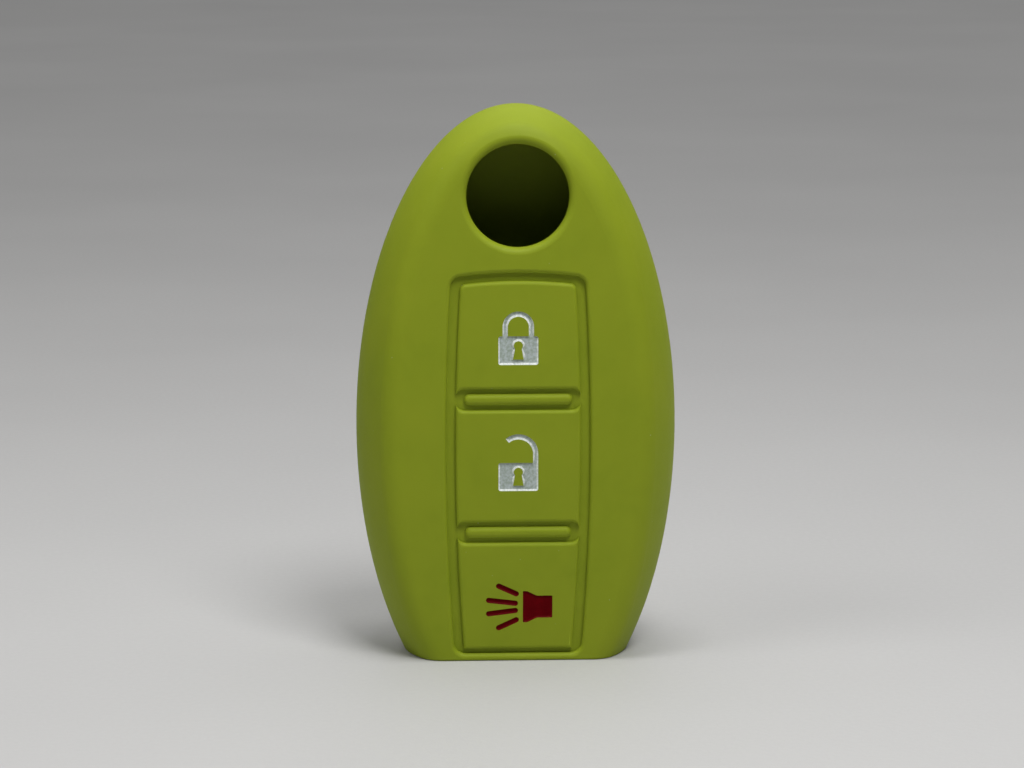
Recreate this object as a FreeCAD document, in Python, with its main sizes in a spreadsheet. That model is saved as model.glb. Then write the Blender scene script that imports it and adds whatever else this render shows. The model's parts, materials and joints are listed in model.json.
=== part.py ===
import FreeCAD, Part
import math
import os
import re
import Sketcher

# A slip-on silicone cover for an oval car key. It stands on its mouth, as in the picture it was built from.
# X runs to the right, Y from the front face to the back and Z up. The origin is amid the mouth plane.
# The sleeve, the pads, the webs and the ribs are one moulding in life, cut here where the rubber bends.

# Each row is an alias, a value in millimetres or degrees, and its meaning. One that ends in share is a ratio.
SIZES = (
    ("body_width", "44", "width at the waist"),
    ("body_height", "76", "height from the mouth to the crest"),
    ("body_depth", "18", "greatest depth from front to back"),
    ("waist_share", "0.4158", "share of the height at which the widest place lies"),
    ("edge_band", "4.3", "width of the sloped band round the front face"),
    ("face_round", "3.4", "radius where the sloped band meets the front and rear faces"),
    ("crown_radius", "450", "lengthwise bow of the front face"),
    ("back_radius", "550", "lengthwise bow of the rear face"),
    ("crown_share", "0.447", "share of the height at which the two faces lie furthest apart"),
    ("front_wall", "1.6", "thickness of the front wall"),
    ("rear_wall", "1.9", "thickness of the rear wall"),
    ("side_wall", "2.0", "thickness of the side walls and the crest"),
    ("window_radius", "6.95", "radius of the round window"),
    ("window_clearance", "0.55", "clearance between the window and the sloped band at the crest"),
    ("window_round", "0.9", "radius of the window lip"),
    ("bridge_height", "3.95", "height of the bridge between the window and the keypad's upper corners"),
    ("keypad_low", "1.0", "height of the lip under the keypad opening"),
    ("keypad_low_share", "0.3932", "width of the keypad opening at its lower edge as a share of the body's"),
    ("keypad_high_share", "0.4105", "width of the keypad opening at its upper corners, likewise"),
    ("keypad_corner", "1.5", "corner radius of the keypad opening"),
    ("keypad_round", "0.55", "radius of the keypad opening's lip"),
    ("side_bow", "360", "radius of the bowed sides of the keypad"),
    ("top_bow", "63", "radius of the bowed upper edge of the keypad"),
    ("side_groove", "1.2", "width of the groove beside the pads"),
    ("high_groove", "0.95", "width of the groove above the pads"),
    ("low_groove", "0.7", "width of the groove below the pads"),
    ("pad_sink", "0.1", "depth of the pads below the front face"),
    ("pad_corner", "0.9", "radius of the two upper corners of the block of pads"),
    ("pad_round", "0.5", "radius of the edges of the pads"),
    ("upper_rib_share", "0.69", "place of the upper rib as a share of the pads' height"),
    ("lower_rib_share", "0.3258", "place of the lower rib as a share of the pads' height"),
    ("rib_end_gap", "1.28", "clearance between the end of a rib and the end of its groove"),
    ("rib_width", "1.54", "width of a rib"),
    ("rib_round", "0.65", "radius of the edges of a rib"),
    ("moat_width", "2.9", "width of the groove round a rib"),
    ("moat_overrun", "0.18", "overrun of that groove beyond the sides of the pads, which parts them"),
    ("web_thickness", "0.8", "thickness of the bending web under the grooves"),
    ("inlay_sink", "0.16", "depth of a symbol below its pad's face"),
    ("inlay_depth", "0.6", "depth of the pocket that holds a symbol"),
    ("icon_share", "0.1437", "height of the closed padlock as a share of the pads' height"),
    ("lock_share", "0.7852", "place of the closed padlock's foot as a share of the pads' height"),
    ("unlock_share", "0.4417", "place of the open padlock's foot as a share of the pads' height"),
    ("horn_share", "0.1187", "place of the horn's middle as a share of the pads' height"),
    ("padlock_width_share", "0.743", "width of a padlock's case"),
    ("padlock_height_share", "0.536", "height of a padlock's case"),
    ("shackle_width_share", "0.584", "width of the closed shackle"),
    ("shackle_leg_share", "0.172", "straight height of the closed shackle"),
    ("shackle_stroke_share", "0.097", "thickness of a shackle's line"),
    ("open_shackle_rise_share", "0.174", "straight height of the open shackle"),
    ("open_shackle_sweep", "130", "angle that the open shackle turns through to its free end"),
    ("symbol_corner_share", "0.041", "corner radius of the symbols"),
    ("keyhole_radius_share", "0.085", "radius of the keyhole's eye"),
    ("keyhole_level_share", "0.36", "height of the keyhole's eye in the case"),
    ("keyhole_foot_share", "0.1", "height of the keyhole's foot in the case"),
    ("keyhole_neck_width_share", "0.103", "width of the keyhole under its eye"),
    ("keyhole_foot_width_share", "0.2", "width of the keyhole at its foot"),
    ("horn_mouth_x_share", "0.088", "left end of the horn"),
    ("horn_flare_x_share", "0.17", "place where the flare of the horn starts"),
    ("horn_throat_x_share", "0.35", "place where the flare of the horn ends"),
    ("horn_tail_x_share", "0.645", "right end of the horn"),
    ("horn_mouth_height_share", "0.616", "height of the horn's mouth"),
    ("horn_tail_height_share", "0.434", "height of the horn's tail"),
    ("horn_flare_round_share", "0.12", "radius at both ends of the horn's flare"),
    ("ray_width_share", "0.105", "width of a sound ray"),
    ("near_ray_x_share", "-0.304", "middle of a near sound ray across"),
    ("near_ray_rise_share", "0.101", "middle of a near sound ray above the horn's middle"),
    ("near_ray_length_share", "0.503", "length of a near sound ray between its round ends"),
    ("near_ray_tilt", "7", "tilt of a near sound ray"),
    ("far_ray_x_share", "-0.201", "middle of a far sound ray across"),
    ("far_ray_rise_share", "0.332", "middle of a far sound ray above the horn's middle"),
    ("far_ray_length_share", "0.362", "length of a far sound ray between its round ends"),
    ("far_ray_tilt", "25", "tilt of a far sound ray"),
    ("notch_share", "0.36", "width of the thumb notch in the rear wall as a share of the body's"),
    ("notch_height", "12", "height of the thumb notch in the rear wall"),
    ("notch_round", "0.6", "radius of the edge of the thumb notch"),
    ("mouth_round", "0.35", "radius of the outer edge of the mouth"),
    ("close_share", "0.00001", "share of the width within which two lengths count as equal"),
)

# Sizes and places that follow from the sheet. A name here stands for its formula wherever it is used.
FOLLOWING = {
    "waist_level": "body_height * waist_share",
    "crown_level": "body_height * crown_share",
    "window_level": "body_height - edge_band - window_clearance - window_radius",
    "keypad_high": "window_level - window_radius - bridge_height",
    "keypad_low_width": "body_width * keypad_low_share",
    "keypad_high_width": "body_width * keypad_high_share",
    "pads_low": "keypad_low + low_groove",
    "pads_height": "keypad_high - high_groove - pads_low",
    "pads_low_width": "keypad_low_width - 2 * side_groove",
    "pads_high_width": "keypad_high_width - 2 * side_groove",
    "notch_width": "body_width * notch_share",
    "icon_height": "pads_height * icon_share",
}
for place in ("upper_rib", "lower_rib", "lock", "unlock", "horn"):
    FOLLOWING[f"{place}_level"] = f"pads_low + pads_height * {place}_share"
# A rib's groove is as long as the pads are wide there, with the bow of their sides, and runs on beyond them.
for side in ("upper", "lower"):
    share = f"{side}_rib_share"
    straight = f"pads_low_width + (pads_high_width - pads_low_width) * {share}"
    FOLLOWING[f"{side}_moat_length"] = (
        f"{straight} + {share} * (1 - {share}) * pads_height ^ 2 / side_bow + 2 * moat_overrun"
    )
    FOLLOWING[f"{side}_rib_length"] = f"{side}_moat_length - 2 * rib_end_gap"
# The symbols grow with the icon height. Each of their shares is a share of it.
SYMBOL_PARTS = ("padlock_", "shackle_", "open_", "symbol_", "keyhole_", "horn_", "ray_", "near_", "far_")
for alias, value, meaning in SIZES:
    if alias.startswith(SYMBOL_PARTS) and alias.endswith("_share") and alias != "horn_share":
        FOLLOWING[alias.removesuffix("_share")] = f"icon_height * {alias}"

# Shares of half the body depth, and the shares of the edge band by which the outline has drawn in there.
# The last station lies beyond the face, so that the bowed faces always cut the sloped band.
EDGE_SHARES = ((0.0, 0.0), (0.6, 0.39), (1.12, 1.27))
LOFT_DEGREE = 3

UPRIGHT = FreeCAD.Rotation(FreeCAD.Vector(1, 0, 0), 90)
ACROSS = FreeCAD.Rotation(FreeCAD.Vector(0, 1, 0), 90)
# An upright ellipse has its long half along Z. It starts at its foot, which the mouth plane cuts away.
TALL = FreeCAD.Rotation(FreeCAD.Vector(0, 0, -1), FreeCAD.Vector(-1, 0, 0), FreeCAD.Vector(0, 1, 0), "XYZ")
PATHS = {"x": "Placement.Base.x", "y": "Placement.Base.y", "z": "Placement.Base.z"}
ALIASES = {row[0] for row in SIZES}

doc = FreeCAD.newDocument("key_fob_cover")
sheet = doc.addObject("Spreadsheet::Sheet", "Sizes")
for line, (alias, value, meaning) in enumerate(SIZES, start=1):
    sheet.set(f"A{line}", meaning)
    sheet.set(f"B{line}", value)
    sheet.setAlias(f"B{line}", alias)
doc.recompute()


def formula(text):
    """The text with every name in it written out in cells of the sheet."""
    def written(found):
        name = found.group(0)
        if name in FOLLOWING:
            return f"({formula(FOLLOWING[name])})"
        return f"Sizes.{name}" if name in ALIASES else name
    return re.sub(r"[a-z_]+", written, text)


def number(text):
    """What a formula comes to now."""
    return float(sheet.evalExpression(formula(text)))


def bind(thing, **formulas):
    for name, text in formulas.items():
        thing.setExpression(PATHS.get(name, name), formula(text))
    return thing


def solid(kind, name, turn=FreeCAD.Rotation(), **formulas):
    thing = doc.addObject(f"Part::{kind}", name)
    thing.Placement = FreeCAD.Placement(FreeCAD.Vector(), turn)
    return bind(thing, **formulas)


def pair(kind, name, base, tool):
    thing = doc.addObject(f"Part::{kind}", name)
    thing.Base = base
    thing.Tool = tool
    return thing


def cut(name, base, tool):
    return pair("Cut", name, base, tool)


def common(name, base, tool):
    return pair("Common", name, base, tool)


def fuse(name, *things):
    thing = doc.addObject("Part::MultiFuse", name)
    thing.Shapes = list(things)
    return thing


def pillow(name, inset):
    """An oval block with soft edges, drawn in all round by the inset and deeper than the body."""
    stations = [(-depth, drawn) for depth, drawn in reversed(EDGE_SHARES[1:])] + list(EDGE_SHARES)
    rings = []
    for i, (depth, drawn) in enumerate(stations):
        margin = f"({inset} + {drawn} * edge_band)"
        rings.append(solid(
            "Ellipse", f"{name}_ring_{i}", TALL,
            MajorRadius=f"body_height - waist_level - {margin}",
            MinorRadius=f"body_width / 2 - {margin}",
            y=f"{depth} * body_depth / 2",
            z="waist_level",
        ))
    loft = doc.addObject("Part::Loft", name)
    loft.Sections = rings
    loft.MaxDegree = LOFT_DEGREE
    loft.Solid = True
    return loft


def front_bow(name, below="0"):
    """All that lies behind the bowed front face, or behind that face lowered by a depth."""
    return solid(
        "Cylinder", name, ACROSS,
        Radius=f"crown_radius - ({below})", Height="2 * body_width",
        x="-body_width", y="crown_radius - body_depth / 2", z="crown_level",
    )


def rear_bow(name, below="0"):
    """All that lies before the bowed rear face, or before that face lowered by a depth."""
    return solid(
        "Cylinder", name, ACROSS,
        Radius=f"back_radius - ({below})", Height="2 * body_width",
        x="-body_width", y="body_depth / 2 - back_radius", z="crown_level",
    )


def block(name, middle, width, low, high):
    """A block through the front wall."""
    return solid(
        "Box", name,
        Length=width, Width="body_depth", Height=f"({high}) - ({low})",
        x=f"({middle}) - ({width}) / 2", y="-body_depth", z=low,
    )


def post(name, radius, x, z):
    """A round post through the front wall."""
    return solid("Cylinder", name, UPRIGHT, Radius=radius, Height="body_depth", x=x, z=z)


def capsule(name, length, width, z):
    """A level bar with round ends through the front wall."""
    reach = f"(({length}) - ({width})) / 2"
    return fuse(
        name,
        block(f"{name}_bar", "0", f"2 * {reach}", f"{z} - ({width}) / 2", f"{z} + ({width}) / 2"),
        post(f"{name}_left", f"({width}) / 2", f"-{reach}", z),
        post(f"{name}_right", f"({width}) / 2", reach, z),
    )


def outline(name, corners, bows=None):
    """A sketch of a closed outline run anticlockwise, stretched forward through the front wall.

    Each corner is a pair of formulas. A bow is the radius of an outward arc from the corner of that number.
    """
    bows = bows or {}
    sketch = doc.addObject("Sketcher::SketchObject", f"{name}_outline")
    sketch.Placement = FreeCAD.Placement(FreeCAD.Vector(), UPRIGHT)
    points = [FreeCAD.Vector(number(x), number(z), 0) for x, z in corners]
    for i, start in enumerate(points):
        end = points[(i + 1) % len(points)]
        if i in bows:
            radius = number(bows[i])
            chord = end - start
            inward = FreeCAD.Vector(-chord.y, chord.x, 0).normalize()
            centre = (start + end) / 2 + inward * math.sqrt(radius ** 2 - (chord.Length / 2) ** 2)
            first = math.atan2(start.y - centre.y, start.x - centre.x)
            last = math.atan2(end.y - centre.y, end.x - centre.x)
            circle = Part.Circle(centre, FreeCAD.Vector(0, 0, 1), radius)
            sketch.addGeometry(Part.ArcOfCircle(circle, first, last))
        else:
            sketch.addGeometry(Part.LineSegment(start, end))
    for i, (x, z) in enumerate(corners):
        sketch.addConstraint(Sketcher.Constraint("Coincident", i, 2, (i + 1) % len(corners), 1))
        for axis, text in (("X", x), ("Y", z)):
            index = sketch.addConstraint(Sketcher.Constraint(f"Distance{axis}", -1, 1, i, 1, number(text)))
            sketch.setExpression(f"Constraints[{index}]", formula(text))
        if i in bows:
            index = sketch.addConstraint(Sketcher.Constraint("Radius", i, number(bows[i])))
            sketch.setExpression(f"Constraints[{index}]", formula(bows[i]))
    prism = doc.addObject("Part::Extrusion", name)
    prism.Base = sketch
    prism.DirMode = "Normal"
    prism.Solid = True
    return bind(prism, LengthFwd="body_depth")


def rounded(name, base, *rounds):
    """A body that rounds edges of the base. Each round is a radius formula and a test of an edge."""
    doc.recompute()
    body = doc.addObject("PartDesign::Body", name)
    body.BaseFeature = base
    doc.recompute()
    for i, (radius, wanted) in enumerate(rounds):
        shape = body.Tip.Shape
        edges = [f"Edge{k}" for k, edge in enumerate(shape.Edges, start=1) if wanted(shape, edge)]
        fillet = body.newObject("PartDesign::Fillet", f"{name}_round_{i}")
        fillet.Base = (body.Group[-2], edges)
        bind(fillet, Radius=radius)
        body.Tip = fillet
        doc.recompute()
    return body


def same(one, other):
    """Two lengths that agree to within a small share of the body's width."""
    return abs(one - other) < number("close_share * body_width")


def on_bow(radius):
    """A test for the edges round a face that is bowed to the radius given."""
    def wanted(shape, edge):
        for face in shape.Faces:
            round_face = isinstance(face.Surface, Part.Cylinder)
            if round_face and same(face.Surface.Radius, number(radius)):
                if any(edge.isSame(other) for other in face.Edges):
                    return True
        return False
    return wanted


def lies_along_y(shape, edge):
    box = edge.BoundBox
    return same(box.XLength, 0) and same(box.ZLength, 0)


def at(axis, place):
    """A test for the edges that lie at a place along an axis."""
    def wanted(shape, edge):
        ends = (getattr(edge.BoundBox, f"{axis}{end}") for end in ("Min", "Max"))
        return all(same(end, number(place)) for end in ends)
    return wanted


def meets(thing):
    """A test for the edges that lie on the surface of a thing."""
    def wanted(shape, edge):
        middle = Part.Vertex(edge.valueAt((edge.FirstParameter + edge.LastParameter) / 2))
        return same(thing.Shape.Shells[0].distToShape(middle)[0], 0)
    return wanted


def both(*tests):
    return lambda shape, edge: all(test(shape, edge) for test in tests)


def either(*tests):
    return lambda shape, edge: any(test(shape, edge) for test in tests)


def off(test):
    return lambda shape, edge: not test(shape, edge)


# The bowed surfaces that the pieces of the front wall share.
face = front_bow("face")
room_face = front_bow("room_face", "front_wall")
web_face = front_bow("web_face", "front_wall - web_thickness")
pad_face = front_bow("pad_face", "pad_sink")
symbol_face = front_bow("symbol_face", "pad_sink + inlay_sink")
pocket_floor = front_bow("pocket_floor", "pad_sink + inlay_depth")


def layer(name, prism, upper, lower):
    """The part of a prism between two bowed surfaces."""
    return cut(name, common(f"{name}_capped", prism, upper), lower)


# The outer form: an oval pillow bowed front and rear, cut level at the mouth, with both face edges rounded.
standing = solid(
    "Box", "standing", Length="2 * body_width", Width="2 * body_depth", Height="2 * body_height",
    x="-body_width", y="-body_depth",
)
bowed = common("bowed_front", pillow("outer_pillow", "0"), face)
bowed = common("bowed_rear", bowed, rear_bow("back"))
bowed = common("bowed_standing", bowed, standing)
on_faces = either(on_bow("crown_radius"), on_bow("back_radius"))
outer = rounded(
    "outer_form", bowed,
    ("face_round", both(on_faces, off(at("Z", "0")))),
    ("mouth_round", at("Z", "0")),
)

# The room for the key, open at the mouth.
room = common("room_front", pillow("inner_pillow", "side_wall"), room_face)
room = common("room", room, rear_bow("room_back", "rear_wall"))

# The openings in the sleeve: window, keypad and thumb notch.
window = post("window", "window_radius", "0", "window_level")
keypad_sharp = outline(
    "keypad_sharp",
    (
        ("-keypad_low_width / 2", "keypad_low"),
        ("keypad_low_width / 2", "keypad_low"),
        ("keypad_high_width / 2", "keypad_high"),
        ("-keypad_high_width / 2", "keypad_high"),
    ),
    {1: "side_bow", 2: "top_bow", 3: "side_bow"},
)
keypad = rounded("keypad", keypad_sharp, ("keypad_corner", lies_along_y))
notch = fuse(
    "notch",
    solid(
        "Box", "notch_leg",
        Length="notch_width", Width="body_depth", Height="2 * notch_height - notch_width / 2",
        x="-notch_width / 2", z="-notch_height",
    ),
    solid(
        "Cylinder", "notch_arch", UPRIGHT, Radius="notch_width / 2", Height="body_depth",
        y="body_depth", z="notch_height - notch_width / 2",
    ),
)
shell = cut("hollow", outer, room)
shell = cut("hollow_with_window", shell, window)
shell = cut("hollow_with_keypad", shell, keypad)
shell = cut("hollow_with_notch", shell, notch)
on_window = both(on_bow("window_radius"), off(on_bow("crown_radius - front_wall")), off(lies_along_y))
on_keypad = both(on_bow("crown_radius"), meets(keypad))
on_notch = both(on_bow("back_radius"), meets(notch))
sleeve = rounded(
    "sleeve", shell,
    ("window_round", on_window),
    ("keypad_round", on_keypad),
    ("notch_round", on_notch),
)

# The ribs, and the block of pads parted by the grooves round the ribs.
levels = {"upper": "upper_rib_level", "lower": "lower_rib_level"}
rib_prisms = {
    side: capsule(f"{side}_rib_prism", f"{side}_rib_length", "rib_width", level)
    for side, level in levels.items()
}
ribs = [
    rounded(f"{side}_rib", layer(f"{side}_rib_blank", prism, pad_face, room_face),
            ("rib_round", on_bow("crown_radius - pad_sink")))
    for side, prism in rib_prisms.items()
]
plateau_sharp = outline(
    "plateau_sharp",
    (
        ("-pads_low_width / 2", "pads_low"),
        ("pads_low_width / 2", "pads_low"),
        ("pads_high_width / 2", "pads_low + pads_height"),
        ("-pads_high_width / 2", "pads_low + pads_height"),
    ),
    {1: "side_bow", 2: "top_bow", 3: "side_bow"},
)
# Only the upper corners of the pads are round.
upper_corners = both(lies_along_y, off(at("Z", "pads_low")))
plateau = rounded("plateau", plateau_sharp, ("pad_corner", upper_corners))
moats = [
    capsule(f"{side}_moat", f"{side}_moat_length", "moat_width", level)
    for side, level in levels.items()
]
islands = cut("islands", plateau, fuse("moats", *moats))


def keyhole(name, level):
    """A round eye over a flared foot."""
    foot = outline(
        f"{name}_foot",
        (
            ("-keyhole_foot_width / 2", f"{level} + keyhole_foot"),
            ("keyhole_foot_width / 2", f"{level} + keyhole_foot"),
            ("keyhole_neck_width / 2", f"{level} + keyhole_level"),
            ("-keyhole_neck_width / 2", f"{level} + keyhole_level"),
        ),
    )
    return fuse(name, post(f"{name}_eye", "keyhole_radius", "0", f"{level} + keyhole_level"), foot)


def padlock(name, level, shackle):
    """A padlock's case with a keyhole, joined to its shackle."""
    sharp = outline(
        f"{name}_case_sharp",
        (
            ("-padlock_width / 2", level),
            ("padlock_width / 2", level),
            ("padlock_width / 2", f"{level} + padlock_height"),
            ("-padlock_width / 2", f"{level} + padlock_height"),
        ),
    )
    case = rounded(f"{name}_case", sharp, ("symbol_corner", lies_along_y))
    return cut(name, fuse(f"{name}_whole", case, shackle), keyhole(f"{name}_keyhole", level))


def arch(name, width, low, leg):
    """A block with a round top."""
    middle = f"{low} + {leg}"
    top = post(f"{name}_top", f"({width}) / 2", "0", middle)
    return fuse(name, block(f"{name}_leg", "0", width, low, middle), top)


# The symbols, each drawn through the front wall.
lock_top = "lock_level + padlock_height"
closed_shackle = cut(
    "closed_shackle",
    arch("closed_shackle_outer", "shackle_width", lock_top, "shackle_leg"),
    arch("closed_shackle_inner", "shackle_width - 2 * shackle_stroke", lock_top, "shackle_leg"),
)
lock_prism = padlock("lock_prism", "lock_level", closed_shackle)
unlock_top = "unlock_level + padlock_height"
hoop_middle = f"{unlock_top} + open_shackle_rise"
hoop_outer = post("hoop_outer", "padlock_width / 2", "0", hoop_middle)
hoop = cut(
    "hoop",
    bind(hoop_outer, Angle="open_shackle_sweep"),
    post("hoop_inner", "padlock_width / 2 - shackle_stroke", "0", hoop_middle),
)
# The leg of the open shackle is flush with its case, so it starts under the case's round corner.
hoop_leg = block(
    "hoop_leg", "(padlock_width - shackle_stroke) / 2", "shackle_stroke",
    f"{unlock_top} - symbol_corner", hoop_middle,
)
unlock_prism = padlock("unlock_prism", "unlock_level", fuse("open_shackle", hoop, hoop_leg))

# The horn is seen from its side: a mouth, a flare and a straight tail.
horn_half = (
    ("horn_mouth_x", "horn_mouth_height / 2"),
    ("horn_flare_x", "horn_mouth_height / 2"),
    ("horn_throat_x", "horn_tail_height / 2"),
    ("horn_tail_x", "horn_tail_height / 2"),
)
horn_sharp = outline(
    "horn_sharp",
    [(x, f"horn_level - {height}") for x, height in horn_half]
    + [(x, f"horn_level + {height}") for x, height in reversed(horn_half)],
)
horn_ends = either(at("X", "horn_mouth_x"), at("X", "horn_tail_x"))
horn_bends = either(at("X", "horn_flare_x"), at("X", "horn_throat_x"))
horn_prism = rounded(
    "horn_prism", horn_sharp,
    ("symbol_corner / 2", both(lies_along_y, horn_ends)),
    ("horn_flare_round", both(lies_along_y, horn_bends)),
)


def ray(kind, side):
    """A sound ray with round ends, above the horn's middle for a side of 1 and below it for a side of -1."""
    name = f"{kind}_{'upper' if side > 0 else 'lower'}_ray"
    along = (
        f"{kind}_ray_length / 2 * cos({kind}_ray_tilt)",
        f"({-side}) * {kind}_ray_length / 2 * sin({kind}_ray_tilt)",
    )
    over = (f"({side}) * ray_width / 2 * sin({kind}_ray_tilt)", f"ray_width / 2 * cos({kind}_ray_tilt)")
    middle = (f"{kind}_ray_x", f"horn_level + ({side}) * {kind}_ray_rise")

    def corner(end, edge):
        return tuple(f"{m} + ({end}) * {a} + ({edge}) * {o}" for m, a, o in zip(middle, along, over))

    bar = outline(f"{name}_bar", (corner(-1, -1), corner(1, -1), corner(1, 1), corner(-1, 1)))
    ends = [post(f"{name}_end_{end + 1}", "ray_width / 2", *corner(end, 0)) for end in (-1, 1)]
    return fuse(name, bar, *ends)


rays_prism = fuse("rays_prism", *[ray(kind, side) for kind in ("near", "far") for side in (1, -1)])

# Each pad, its web and its symbols. A zone is the stretch of the keypad that belongs to a pad.
nodes = [sleeve] + ribs
for name, low, high, symbols in (
    ("lock", "upper_rib_level", "body_height", {"lock_symbol": lock_prism}),
    ("unlock", "lower_rib_level", "upper_rib_level", {"unlock_symbol": unlock_prism}),
    ("horn", "0", "lower_rib_level", {"horn_symbol": horn_prism, "horn_rays": rays_prism}),
):
    zone = block(f"{name}_zone", "0", "body_width", low, high)
    pad_prism = common(f"{name}_pad_prism", islands, zone)
    pad = rounded(f"{name}_pad_blank", layer(f"{name}_pad_plain", pad_prism, pad_face, room_face),
                  ("pad_round", on_bow("crown_radius - pad_sink")))
    for node, prism in symbols.items():
        pad = cut(f"{name}_pad_for_{node}", pad, cut(f"{node}_pocket", prism, pocket_floor))
        nodes.append(layer(node, prism, symbol_face, pocket_floor))
    pad.Label = f"{name}_pad"
    nodes.append(pad)
    sheet_zone = layer(f"{name}_web_zone", common(f"{name}_web_prism", keypad, zone), web_face, room_face)
    rib_zone = fuse(f"{name}_rib_zone", *rib_prisms.values())
    nodes.append(cut(f"{name}_web", cut(f"{name}_web_round_pad", sheet_zone, islands), rib_zone))
doc.recompute()

# Nothing is written unless every object is sound and every piece has its own solids.
for thing in doc.Objects:
    if any(state in ("Invalid", "Error") for state in thing.State):
        raise RuntimeError(f"{thing.Name} did not build")
os.makedirs("parts", exist_ok=True)
for node in nodes:
    shape = node.Shape
    solids = 4 if node.Label == "horn_rays" else 1
    if shape.isNull() or not shape.isValid() or len(shape.Solids) != solids or shape.Volume <= 0:
        raise RuntimeError(f"{node.Label} is not sound")
    shape.exportStep(f"parts/{node.Label}.step")
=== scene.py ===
import json
import math

import bmesh
import bpy
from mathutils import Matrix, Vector
from mathutils.bvhtree import BVHTree

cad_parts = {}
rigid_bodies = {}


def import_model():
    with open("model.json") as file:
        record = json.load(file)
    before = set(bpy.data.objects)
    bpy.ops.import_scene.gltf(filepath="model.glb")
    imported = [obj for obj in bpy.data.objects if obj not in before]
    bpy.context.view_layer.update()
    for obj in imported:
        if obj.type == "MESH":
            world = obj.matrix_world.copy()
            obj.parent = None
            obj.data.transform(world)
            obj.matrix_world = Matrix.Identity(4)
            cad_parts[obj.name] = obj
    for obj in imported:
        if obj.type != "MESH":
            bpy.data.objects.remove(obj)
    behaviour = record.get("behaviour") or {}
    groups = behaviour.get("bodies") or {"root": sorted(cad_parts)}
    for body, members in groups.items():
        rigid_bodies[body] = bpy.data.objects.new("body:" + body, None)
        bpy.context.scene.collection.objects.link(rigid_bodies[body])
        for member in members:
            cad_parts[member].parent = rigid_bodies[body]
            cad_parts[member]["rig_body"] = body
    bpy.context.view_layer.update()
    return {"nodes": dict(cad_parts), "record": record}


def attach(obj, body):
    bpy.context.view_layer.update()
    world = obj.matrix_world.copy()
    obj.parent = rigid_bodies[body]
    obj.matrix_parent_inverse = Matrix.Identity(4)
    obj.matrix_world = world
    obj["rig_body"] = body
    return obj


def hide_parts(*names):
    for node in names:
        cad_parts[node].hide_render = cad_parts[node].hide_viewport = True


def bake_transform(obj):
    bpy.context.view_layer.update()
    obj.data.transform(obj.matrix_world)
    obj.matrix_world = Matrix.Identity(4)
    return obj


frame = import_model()

# The looks of a lime silicone key fob cover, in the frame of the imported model.
# Lengths are in metres, apart from the camera's sensor and pixels.

NODES = frame["nodes"]
MILLIMETRE = 0.001
PADS = ("lock", "unlock", "horn")
RIBS = ("upper_rib", "lower_rib")

# The colours, as linear light.
LIME = (0.260, 0.328, 0.0136)
LIME_WARM = (0.292, 0.344, 0.016)
LIME_DEEP = (0.216, 0.284, 0.0096)
LIME_SHEEN = (0.75, 0.90, 0.15)
LINT = (0.496, 0.512, 0.336)
# WHITE is the rim's colour: thicker fill, and partly painted highlight on the lit lower edges of the
# white symbols.
WHITE = (0.890, 0.925, 0.880)
WHITE_THIN = (0.500, 0.562, 0.554)
WHITE_STAIN = (0.290, 0.354, 0.274)
RED = (0.140, 0.0005, 0.0030)
RED_DEEP = (0.098, 0.0003, 0.0022)
FLOOR = (0.530, 0.525, 0.517)
FLOOR_SHADE = (0.499, 0.494, 0.487)
DAYLIGHT = (0.95, 0.97, 1.0)

# The band in which most of a noise lies.
NOISE_BAND = (0.3, 0.7)

# The silicone. A pair is the band of a pattern, or what the two ends of that band stand for.
CLOUD_SIZE = 9.0 * MILLIMETRE
CLOUD_BAND = (0.35, 0.68)
CLOUD_WARMTH = (0.22, 0.78)
STREAK_SIZE = 2.2 * MILLIMETRE
STREAK_EVENNESS = (0.35, 0.75)
GRAIN_SIZE = 0.16 * MILLIMETRE
GRAIN_DEPTH = 0.012 * MILLIMETRE
GRAIN_BAND = (0.25, 0.75)
GRAIN_ROUGHNESS = (0.50, 0.66)
SWELL_SIZE = 6.0 * MILLIMETRE
SWELL_DEPTH = 0.05 * MILLIMETRE
GLOW_DEPTH = 0.6 * MILLIMETRE
GLOW_REACH = (0.9, 1.0, 0.25)

# The lint that clings to the silicone. A speck's edge is given as shares of the spacing.
LINT_SPACING = 2.4 * MILLIMETRE
LINT_EDGE = (0.045, 0.02)
LINT_STREAKS = (0.5, 0.62)
LINT_COVER = (0.0, 0.5)

# The fill of the symbols.
FILL_CLOUD_SIZE = 1.6 * MILLIMETRE
FILL_DULLING = 0.1
MOTTLE_SIZE = 0.35 * MILLIMETRE
MOTTLE_DEPTH = 0.02 * MILLIMETRE
MOTTLE_BAND = (0.38, 0.66)
MOTTLE_STAIN = (0.0, 0.85)
FILL_GRAIN_SIZE = 0.1 * MILLIMETRE
FILL_GRAIN_DEPTH = 0.006 * MILLIMETRE

# The rim of a symbol's fill. Its section is a triangle, whose points are each a run from the wall of
# the pocket into the symbol and a rise from the symbol's face towards the face of the pad.
RIM_WIDTH = 0.32 * MILLIMETRE
RIM_CLIMB = 0.15 * MILLIMETRE
RIM_ROOT = 0.10 * MILLIMETRE
RIM_TOE = 0.03 * MILLIMETRE
RIM_OVERLAP = 0.02 * MILLIMETRE
RIM_SECTION = ((-RIM_OVERLAP, RIM_CLIMB), (RIM_WIDTH, -RIM_TOE), (-RIM_OVERLAP, -RIM_ROOT))
RIM_SIDES = ((0, 1), (1, 2), (2, 0))
# The rim's share of its full size under an upper wall, where shade falls, and along a side wall.
LEAST_RIM = 0.12
LEVEL_RIM = 0.8
# One plus the cosine of the sharpest turn that the rim follows in full, so that no spike grows.
SHARPEST_CORNER = 0.6

# The front of the object, and how squarely a face looks that way to count as a front face.
FORWARD = Vector((0.0, -1.0, 0.0))
FRONT_FACING = 0.9

# How strongly a large face outweighs a small one in the shading.
NORMAL_WEIGHT = 60

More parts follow.
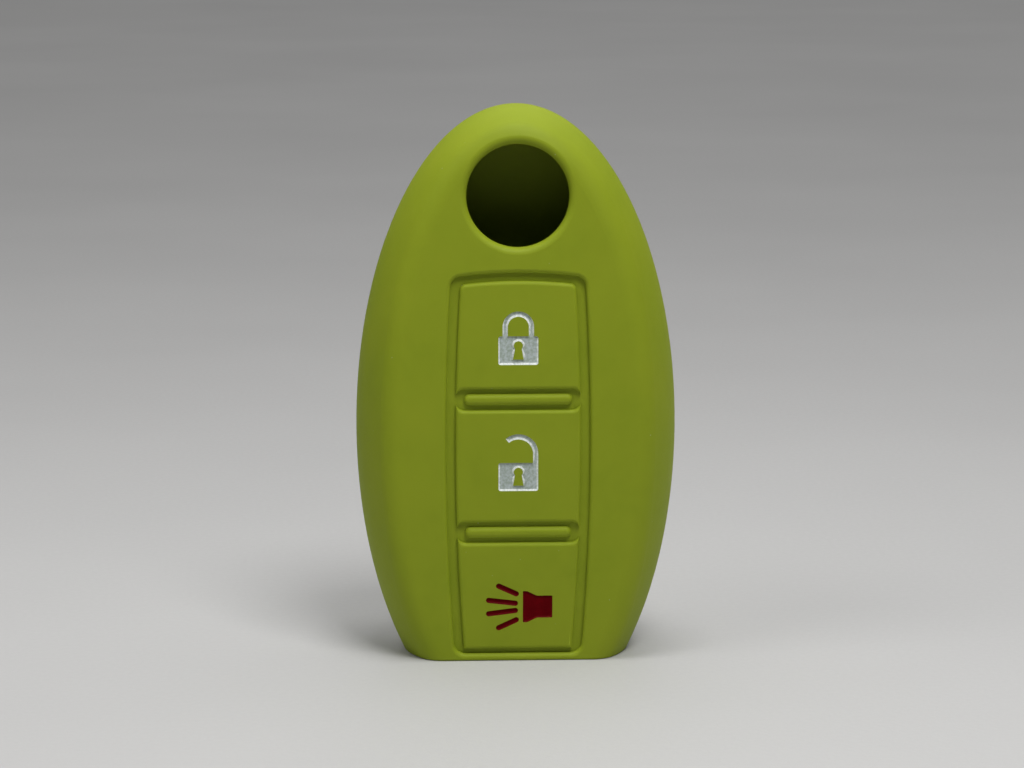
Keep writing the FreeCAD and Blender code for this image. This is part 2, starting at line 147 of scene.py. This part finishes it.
# The floor.
FLOOR_RADIUS = 6.0
FLOOR_SEGMENTS = 96
FLOOR_CLOUD_SIZE = 120.0 * MILLIMETRE
FLOOR_GRAIN_SIZE = 0.9 * MILLIMETRE
FLOOR_GRAIN_DEPTH = 0.03 * MILLIMETRE
FLOOR_ROUGHNESS = (0.5, 0.62)

# The light.
LAMP_AIM = (0.0, 0.0, 0.05)
WORLD_STRENGTH = 0.0625

# The camera, as fitted to the picture. The width of its sensor is in millimetres.
IMAGE_WIDTH = 1024
SENSOR_WIDTH = 36.0
FOCAL_PIXELS = 3264.7
CAMERA_AIM = Vector((0.0, 0.0, 0.038))
CAMERA_DISTANCE = 0.450
CAMERA_AZIMUTH = math.radians(-2.367)
CAMERA_ELEVATION = math.radians(10.158)
CAMERA_NEAREST = 0.01
OFFSET_RIGHT_PIXELS = 3.69
OFFSET_UP_PIXELS = 5.22


class Look:
    """A material, and a short way to write its nodes."""

    def __init__(self, name):
        self.material = bpy.data.materials.new(name)
        self.material.use_nodes = True
        self.tree = self.material.node_tree
        self.shader = self.tree.nodes["Principled BSDF"]
        self.place = self.add("ShaderNodeTexCoord").outputs["Object"]

    def add(self, kind, **settings):
        node = self.tree.nodes.new(kind)
        for name, value in settings.items():
            setattr(node, name, value)
        return node

    def feed(self, socket, value):
        """Links a socket to another one, or sets it to a plain value."""
        if isinstance(value, bpy.types.NodeSocket):
            self.tree.links.new(value, socket)
        elif socket.type == "RGBA":
            socket.default_value = (*value, 1.0)
        else:
            socket.default_value = value

    def set(self, **values):
        """Feeds sockets of the shader, named with _ for each space."""
        for name, value in values.items():
            self.feed(self.shader.inputs[name.replace("_", " ")], value)

    def noise(self, size, detail, roughness=0.5):
        """A noise between 0 and 1 whose patches are about the size given."""
        node = self.add("ShaderNodeTexNoise")
        self.feed(node.inputs["Vector"], self.place)
        self.feed(node.inputs["Scale"], 1.0 / size)
        self.feed(node.inputs["Detail"], detail)
        self.feed(node.inputs["Roughness"], roughness)
        return node.outputs["Fac"]

    def specks(self, spacing):
        """The distance from scattered points, in shares of their spacing."""
        node = self.add("ShaderNodeTexVoronoi", feature="F1")
        self.feed(node.inputs["Vector"], self.place)
        self.feed(node.inputs["Scale"], 1.0 / spacing)
        return node.outputs["Distance"]

    def span(self, value, band, target=(0.0, 1.0)):
        """A band of a value, mapped to a target band and clamped."""
        node = self.add("ShaderNodeMapRange")
        self.feed(node.inputs["Value"], value)
        names = ("From Min", "From Max", "To Min", "To Max")
        for name, number in zip(names, (*band, *target)):
            self.feed(node.inputs[name], number)
        return node.outputs["Result"]

    def product(self, one, other):
        node = self.add("ShaderNodeMath", operation="MULTIPLY")
        self.feed(node.inputs[0], one)
        self.feed(node.inputs[1], other)
        return node.outputs[0]

    def mix(self, share, one, other):
        node = self.add("ShaderNodeMix", data_type="RGBA")
        self.feed(node.inputs["Factor"], share)
        self.feed(node.inputs["A"], one)
        self.feed(node.inputs["B"], other)
        return node.outputs["Result"]

    def bump(self, *heights):
        """Bumps one on another. Each is a height field and the depth that it stands for."""
        normal = None
        for field, depth in heights:
            node = self.add("ShaderNodeBump")
            self.feed(node.inputs["Distance"], depth)
            self.feed(node.inputs["Height"], field)
            if normal:
                self.feed(node.inputs["Normal"], normal)
            normal = node.outputs["Normal"]
        self.set(Normal=normal)


def lime_silicone():
    """Matte moulded silicone: cloudy pigment, a fine eroded grain and a little lint that clings."""
    look = Look("lime_silicone")
    cloud = look.noise(CLOUD_SIZE, detail=4.0)
    streak = look.noise(STREAK_SIZE, detail=2.0)
    grain = look.noise(GRAIN_SIZE, detail=2.0, roughness=0.6)
    swell = look.noise(SWELL_SIZE, detail=1.0)
    colour = look.mix(look.span(cloud, CLOUD_BAND, CLOUD_WARMTH), LIME_DEEP, LIME_WARM)
    colour = look.mix(look.span(streak, NOISE_BAND, STREAK_EVENNESS), colour, LIME)
    lint = look.product(
        look.span(look.specks(LINT_SPACING), LINT_EDGE),
        look.span(streak, LINT_STREAKS, LINT_COVER),
    )
    look.set(
        Base_Color=look.mix(lint, colour, LINT),
        Roughness=look.span(grain, GRAIN_BAND, GRAIN_ROUGHNESS),
        IOR=1.41,
        Subsurface_Weight=0.12,
        Subsurface_Radius=GLOW_REACH,
        Subsurface_Scale=GLOW_DEPTH,
        Specular_IOR_Level=0.24,
        Sheen_Weight=0.048,
        Sheen_Roughness=0.45,
        Sheen_Tint=LIME_SHEEN,
    )
    look.bump((swell, SWELL_DEPTH), (grain, GRAIN_DEPTH))
    return look.material


def inlay(name, full, thin, stain, roughness, shine):
    """Coloured silicone filled into a pocket: a little uneven in depth, with a faint ripple."""
    look = Look(name)
    cloud = look.noise(FILL_CLOUD_SIZE, detail=3.0)
    mottle = look.noise(MOTTLE_SIZE, detail=3.0, roughness=0.6)
    grain = look.noise(FILL_GRAIN_SIZE, detail=2.0)
    colour = look.mix(look.span(cloud, NOISE_BAND), thin, full)
    look.set(
        Base_Color=look.mix(look.span(mottle, MOTTLE_BAND, MOTTLE_STAIN), colour, stain),
        Roughness=look.span(cloud, NOISE_BAND, (roughness + FILL_DULLING, roughness)),
        IOR=1.43,
        Specular_IOR_Level=shine,
    )
    look.bump((mottle, MOTTLE_DEPTH), (grain, FILL_GRAIN_DEPTH))
    return look.material


def pale_floor():
    """A plain pale surface with a fine grain."""
    look = Look("pale_floor")
    cloud = look.noise(FLOOR_CLOUD_SIZE, detail=3.0)
    grain = look.noise(FLOOR_GRAIN_SIZE, detail=2.0)
    look.set(
        Base_Color=look.mix(look.span(cloud, NOISE_BAND), FLOOR_SHADE, FLOOR),
        Roughness=look.span(grain, NOISE_BAND, FLOOR_ROUGHNESS),
    )
    look.bump((grain, FLOOR_GRAIN_DEPTH))
    return look.material


MATERIALS = {
    "lime_silicone": lime_silicone(),
    "white_inlay": inlay(
        "white_inlay", WHITE_THIN, WHITE_THIN, WHITE_STAIN, roughness=0.42, shine=0.20
    ),
    # The white rim is whiter than the fill: partly painted highlight on the lit lower edges of the
    # symbols.
    "white_rim": inlay("white_rim", WHITE, WHITE, WHITE_THIN, roughness=0.36, shine=0.28),
    "red_inlay": inlay("red_inlay", RED, RED_DEEP, RED_DEEP, roughness=0.50, shine=0.04),
    "red_rim": inlay("red_rim", RED_DEEP, RED_DEEP, RED, roughness=0.45, shine=0.064),
}


def paint(thing, name):
    thing.data.materials.clear()
    thing.data.materials.append(MATERIALS[name])


def even_shading(thing):
    """Lets the large faces set the shading, so that no fan of thin triangles shows.

    The shape stays as it is.
    """
    normals = thing.modifiers.new("even_shading", "WEIGHTED_NORMAL")
    normals.mode = "FACE_AREA"
    normals.weight = NORMAL_WEIGHT


def front_loops(mesh):
    """The closed outlines of a symbol's front face, as lists of points."""
    front = [p for p in mesh.polygons if p.normal.dot(FORWARD) > FRONT_FACING]
    uses = {}
    for face in front:
        for edge in face.edge_keys:
            uses[edge] = uses.get(edge, 0) + 1
    after = {}
    for face in front:
        corners = list(face.vertices)
        for start, end in zip(corners, corners[1:] + corners[:1]):
            if uses[(min(start, end), max(start, end))] == 1:
                after[start] = end
    loops = []
    while after:
        first, at = after.popitem()
        loop = [first]
        while at != first:
            loop.append(at)
            at = after.pop(at)
        loops.append([mesh.vertices[i].co.copy() for i in loop])
    return loops


def into_symbol(loop):
    """The direction into a symbol at each point of its outline.

    It is longer at a corner, to keep the width of a strip that turns there.
    """
    sides = []
    for start, end in zip(loop, loop[1:] + loop[:1]):
        along = end - start
        sides.append(Vector((-along.z, 0.0, along.x)).normalized())
    return [
        (before + after) / max(1.0 + before.dot(after), SHARPEST_CORNER)
        for before, after in zip(sides[-1:] + sides[:-1], sides)
    ]


def add_strip(work, loop):
    """A closed strip of the rim's section along one outline, with crisp edges."""
    rings = []
    for place, inward in zip(loop, into_symbol(loop)):
        # Full on the lower walls, which face the light, and scant under the upper walls, where shade
        # falls: with the rim's whiter colour, painted highlight.
        share = min(1.0, max(LEAST_RIM, LEVEL_RIM + inward.z))
        steps = [share * (inward * run + FORWARD * rise) for run, rise in RIM_SECTION]
        rings.append([work.verts.new(place + step) for step in steps])
    for ring, following in zip(rings, rings[1:] + rings[:1]):
        for one, other in RIM_SIDES:
            face = work.faces.new((ring[one], following[one], following[other], ring[other]))
            face.smooth = True
        for corner, next_corner in zip(ring, following):
            work.edges.get((corner, next_corner)).smooth = False


def sloping_rim(node, slot):
    """The fill that climbs the walls of a symbol's pocket.

    It is full along the lower walls, which face the light, and scant under the upper walls, where
    shade falls.
    The fill on the walls is real; on the white symbols its whiter colour on the lit lower edges is
    partly painted highlight.
    """
    mesh = bpy.data.meshes.new(f"{node}_rim")
    work = bmesh.new()
    for loop in front_loops(NODES[node].data):
        add_strip(work, loop)
    bmesh.ops.recalc_face_normals(work, faces=work.faces)
    work.to_mesh(mesh)
    work.free()
    rim = bpy.data.objects.new(f"{node}_rim", mesh)
    bpy.context.scene.collection.objects.link(rim)
    paint(rim, slot.replace("inlay", "rim"))
    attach(rim, NODES[node]["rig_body"])


def surface(names):
    """A search tree over the meshes of several nodes."""
    points = []
    faces = []
    for name in names:
        mesh = NODES[name].data
        first = len(points)
        points.extend(v.co.copy() for v in mesh.vertices)
        faces.extend([first + i for i in p.vertices] for p in mesh.polygons)
    return BVHTree.FromPolygons(points, faces)


def distance(tree, place):
    """How far a place is from the meshes of a search tree."""
    _nearest, _normal, _face, away = tree.find_nearest(place)
    return away


def bending_web(pad):
    """A copy of the thin web round a pad, in place of the web's node.

    The real web bends when the pad is pressed; this copy does not.

    It hangs between the pad and what stays: the sleeve, the ribs and the other webs.
    """
    node = f"{pad}_web"
    piece = bpy.data.objects.new(f"{node}_bending", NODES[node].data.copy())
    bpy.context.scene.collection.objects.link(piece)
    other_webs = [f"{other}_web" for other in PADS if other != pad]
    held = surface(["sleeve", *RIBS, *other_webs])
    moved = surface([f"{pad}_pad"])
    for vertex in piece.data.vertices:
        to_held = distance(held, vertex.co)
        to_moved = distance(moved, vertex.co)
    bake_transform(piece)
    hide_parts(node)
    paint(piece, "lime_silicone")


def floor():
    mesh = bpy.data.meshes.new("floor")
    work = bmesh.new()
    bmesh.ops.create_circle(work, cap_ends=True, segments=FLOOR_SEGMENTS, radius=FLOOR_RADIUS)
    work.to_mesh(mesh)
    work.free()
    mesh.materials.append(pale_floor())
    thing = bpy.data.objects.new("floor", mesh)
    bpy.context.scene.collection.objects.link(thing)


def lamp(name, place, aim, width, height, power):
    data = bpy.data.lights.new(name, "AREA")
    data.shape = "RECTANGLE"
    data.size = width
    data.size_y = height
    data.energy = power
    thing = bpy.data.objects.new(name, data)
    thing.location = place
    thing.rotation_euler = (Vector(aim) - Vector(place)).to_track_quat("-Z", "Y").to_euler()
    bpy.context.scene.collection.objects.link(thing)


def world(colour, strength):
    thing = bpy.data.worlds.new("studio")
    thing.use_nodes = True
    background = thing.node_tree.nodes["Background"]
    background.inputs["Color"].default_value = (*colour, 1.0)
    background.inputs["Strength"].default_value = strength
    bpy.context.scene.world = thing


def camera():
    data = bpy.data.cameras.new("camera")
    data.sensor_width = SENSOR_WIDTH
    data.lens = FOCAL_PIXELS * SENSOR_WIDTH / IMAGE_WIDTH
    data.shift_x = -OFFSET_RIGHT_PIXELS / IMAGE_WIDTH
    data.shift_y = -OFFSET_UP_PIXELS / IMAGE_WIDTH
    data.clip_start = CAMERA_NEAREST
    thing = bpy.data.objects.new("camera", data)
    back = Vector((
        math.sin(CAMERA_AZIMUTH) * math.cos(CAMERA_ELEVATION),
        -math.cos(CAMERA_AZIMUTH) * math.cos(CAMERA_ELEVATION),
        math.sin(CAMERA_ELEVATION),
    ))
    thing.location = CAMERA_AIM + CAMERA_DISTANCE * back
    thing.rotation_euler = (-back).to_track_quat("-Z", "Y").to_euler()
    bpy.context.scene.collection.objects.link(thing)
    bpy.context.scene.camera = thing


for sub_part in frame["record"]["subparts"]:
    node, slot = sub_part["node"], sub_part["material_slot"]
    paint(NODES[node], slot)
    even_shading(NODES[node])
    if slot != "lime_silicone":
        sloping_rim(node, slot)
for pad in PADS:
    bending_web(pad)

floor()
lamp("key", (0.13, -0.28, 0.54), LAMP_AIM, width=0.22, height=0.22, power=2.22)
lamp("ceiling", (0.20, 1.20, 1.60), (0.10, 1.10, 0.0), width=3.0, height=3.0, power=22.5)
lamp("top", (0.00, -0.04, 0.40), LAMP_AIM, width=0.10, height=0.06, power=0.36)
lamp("left_fill", (-0.34, -0.18, 0.46), LAMP_AIM, width=0.24, height=0.24, power=0.60)
world(DAYLIGHT, WORLD_STRENGTH)
camera()
bpy.context.scene.view_settings.view_transform = "Standard"
